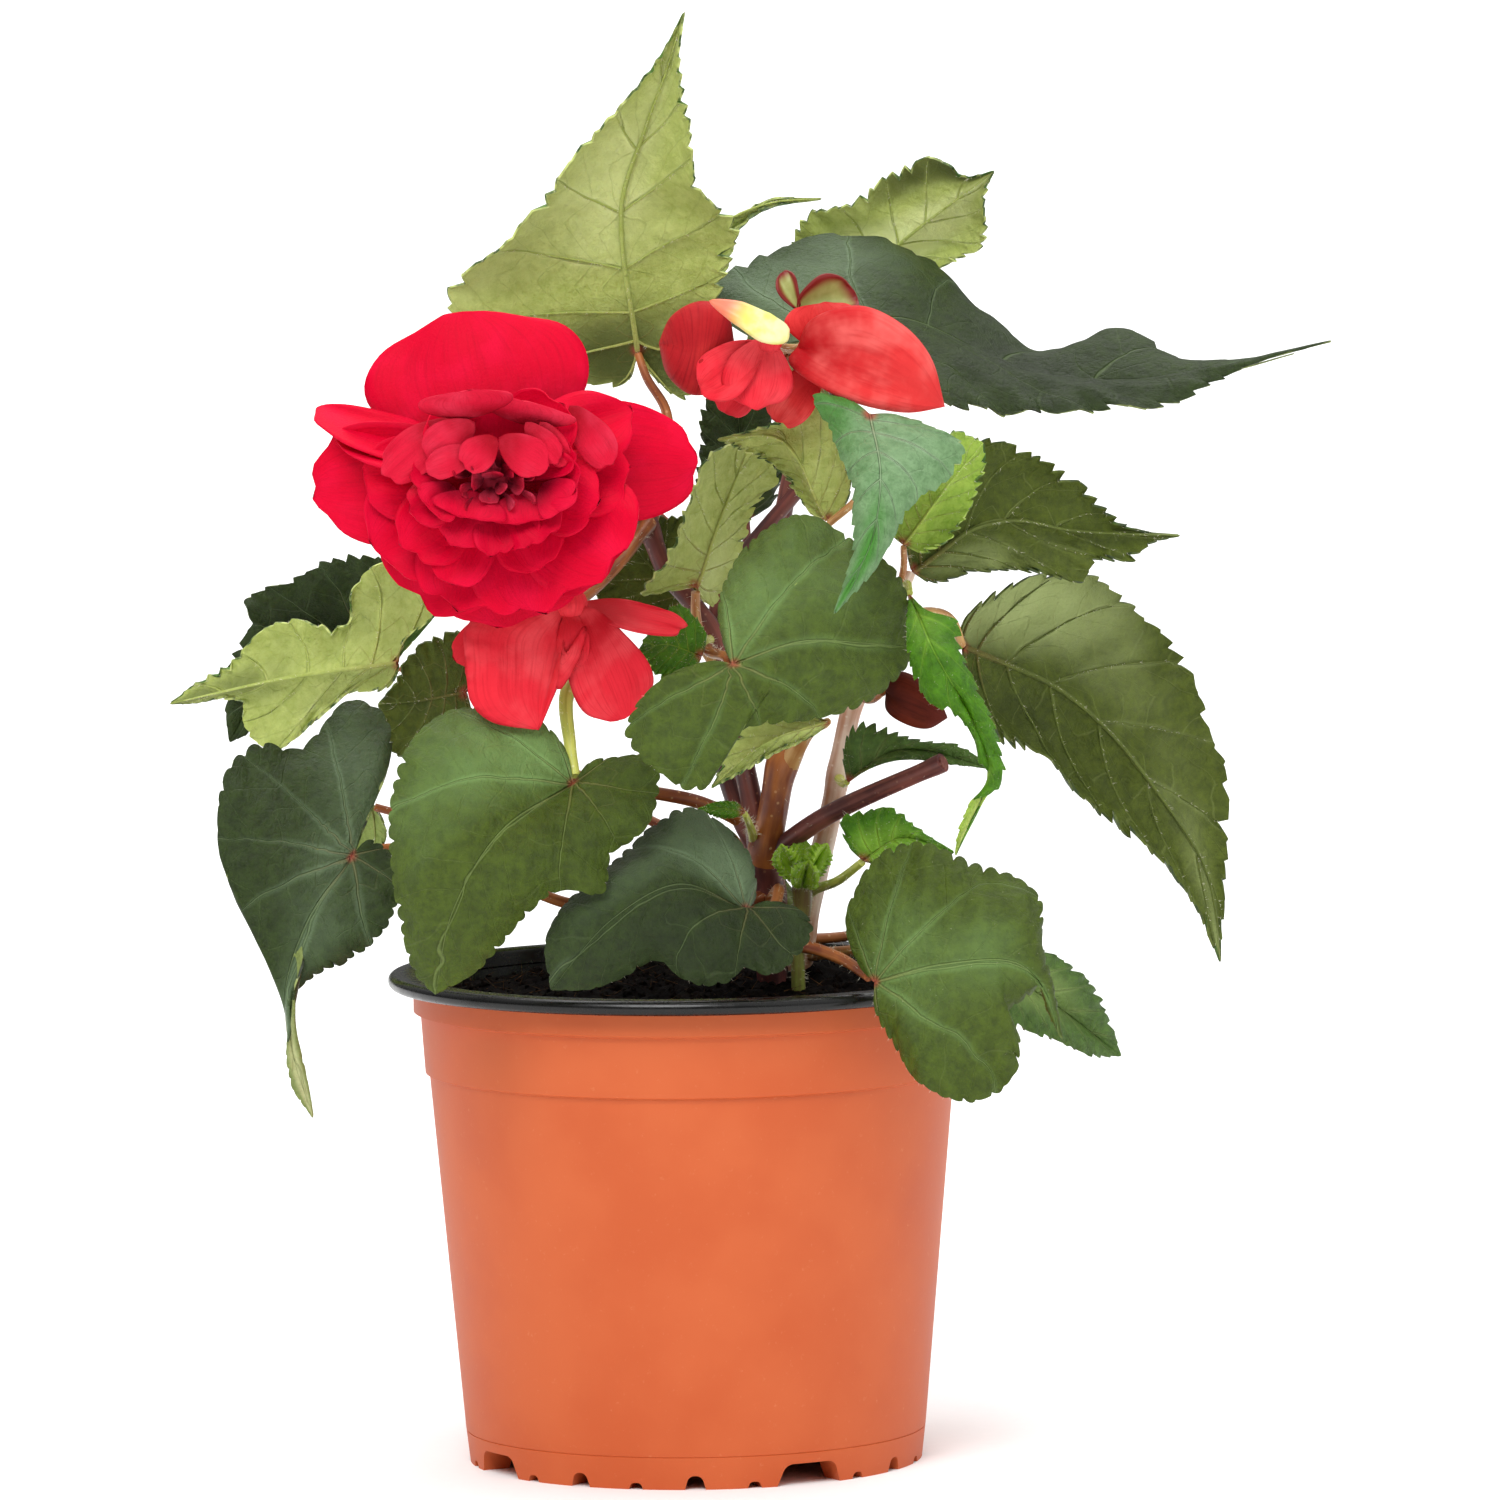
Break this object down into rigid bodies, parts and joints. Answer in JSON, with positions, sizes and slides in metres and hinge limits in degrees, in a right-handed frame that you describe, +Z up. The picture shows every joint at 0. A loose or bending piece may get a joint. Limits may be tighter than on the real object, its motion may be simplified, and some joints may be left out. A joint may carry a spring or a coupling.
{
  "type": "potted begonia",
  "caption": "Flowering tuberous begonia with double blooms, buds and toothed leaves in a round nursery pot with drain holes and soil.",
  "frame": {"origin": "middle of the pot's base, on the surface that it stands on", "axes": "+Z up, -Y the plant's front, which the large bloom looks towards, +X to its right as seen from the front"},
  "size_m": [0.2502, 0.1885, 0.3112],
  "materials": {
    "terracotta_plastic": "satin",
    "black_plastic": "satin",
    "soil": "matte, crumbly peat",
    "dark_stem": "satin, fleshy stem",
    "pale_stem": "satin, fleshy stem",
    "young_stem": "matte, hairy shoot",
    "dark_leaf": "satin leaf",
    "leaf": "satin leaf",
    "grey_leaf": "satin leaf that mirrors the light",
    "pale_leaf": "matte leaf underside",
    "olive_leaf": "matte leaf underside",
    "young_leaf": "satin young leaf",
    "petal": "velvety petal",
    "bud": "waxy closed petals",
    "dark_bud": "waxy closed bud",
    "ovary": "waxy",
    "bract": "thin, waxy"
  },
  "bodies": {
    "root": {"pot_wall": "terracotta_plastic", "pot_rim": "black_plastic", "soil": "soil", "stem_main": "dark_stem", "stem_back": "dark_stem", "stem_pale": "pale_stem", "shoot_young": "young_stem", "leaf_top": "pale_leaf", "leaf_top_behind": "leaf", "leaf_upper_right": "pale_leaf", "leaf_dark_right": "dark_leaf", "leaf_grey_centre": "grey_leaf", "leaf_lime": "young_leaf", "leaf_olive_small": "pale_leaf", "leaf_right_mid": "olive_leaf", "leaf_centre": "leaf", "leaf_pale_under": "pale_leaf", "leaf_young_bright": "young_leaf", "leaf_right_big": "olive_leaf", "leaf_front_left": "leaf", "leaf_front_low": "dark_leaf", "leaf_left": "dark_leaf", "leaf_left_pale": "pale_leaf", "leaf_left_dark": "dark_leaf", "leaf_olive_left": "olive_leaf", "leaf_narrow": "pale_leaf", "leaf_mid_olive": "olive_leaf", "leaf_upright": "dark_leaf", "leaf_low_right": "leaf", "leaf_low_behind": "olive_leaf", "leaf_young_low": "young_leaf", "leaf_young_mid": "olive_leaf", "leaf_young_left": "young_leaf", "leaf_bract": "young_leaf", "leaf_back_left": "leaf", "leaf_back_middle": "leaf", "leaf_back_right": "dark_leaf", "leaf_back_low_left": "dark_leaf", "leaf_back_low": "leaf", "leaf_back_low_right": "leaf", "leaf_back_far_left": "leaf", "leaf_back_top": "dark_leaf", "bloom_main": "petal", "bloom_low": "petal", "bloom_small": "petal", "bud_left": "bud", "bud_right": "bud", "bud_low": "dark_bud", "ovary": "ovary", "bracts": "bract"}
  },
  "joints": []
}
